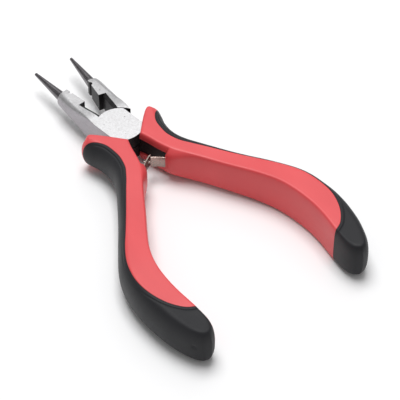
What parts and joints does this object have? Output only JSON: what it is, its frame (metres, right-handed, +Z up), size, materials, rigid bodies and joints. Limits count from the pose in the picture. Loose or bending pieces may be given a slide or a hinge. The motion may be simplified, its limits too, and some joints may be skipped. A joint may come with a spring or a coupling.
{
  "type": "round nose pliers",
  "caption": "Lap-joint round nose pliers with conical tips, forged steel halves, hard plastic handles with soft grips, and crossing leaf springs that open them.",
  "frame": {"origin": "centre of the pivot rivet's lower end face, on the pivot's axis", "axes": "+Z up along the pivot's axis, +Y from the pivot to the jaw tips, +X to the right handle; the pliers are stored open, as their springs hold them"},
  "size_m": [0.0746, 0.13, 0.0136],
  "materials": {
    "satin_steel": "ground satin with black oxide left in the recesses and on the tips",
    "rivet_steel": "ground flush",
    "spring_steel": "bright nickel",
    "red_plastic": "satin moulded",
    "black_rubber": "matte soft grip"
  },
  "bodies": {
    "half_a": {"left_jaw_half": "satin_steel", "pivot_rivet": "rivet_steel", "right_handle_shell": "red_plastic", "right_soft_grip": "black_rubber", "right_spring_rivet": "rivet_steel"},
    "half_b": {"right_jaw_half": "satin_steel", "left_handle_shell": "red_plastic", "left_soft_grip": "black_rubber", "left_spring_rivet": "rivet_steel"},
    "right_leaf": {"right_leaf_spring": "spring_steel"},
    "left_leaf": {"left_leaf_spring": "spring_steel"}
  },
  "joints": [
    {"name": "jaw_pivot", "type": "hinge", "parent": "half_a", "child": "half_b", "pos_m": [0, 0, 0.0046], "axis": [0, 0, 1], "range_deg": [-4, 17.2], "stiffness_Nm_per_rad": 0.6},
    {"name": "right_leaf_flex", "type": "hinge", "parent": "half_a", "child": "right_leaf", "pos_m": [0.006, -0.0211, 0.0046], "axis": [0, 0, 1], "range_deg": [-21, 6], "deforming": ["right_leaf_spring"]},
    {"name": "left_leaf_flex", "type": "hinge", "parent": "half_b", "child": "left_leaf", "pos_m": [-0.00538, -0.0211, 0.0046], "axis": [0, 0, 1], "range_deg": [-6, 21], "deforming": ["left_leaf_spring"]}
  ],
  "couplings": [
    {"joint": "right_leaf_flex", "follows": "jaw_pivot", "ratio": -1.09},
    {"joint": "left_leaf_flex", "follows": "jaw_pivot", "ratio": 1.09}
  ]
}
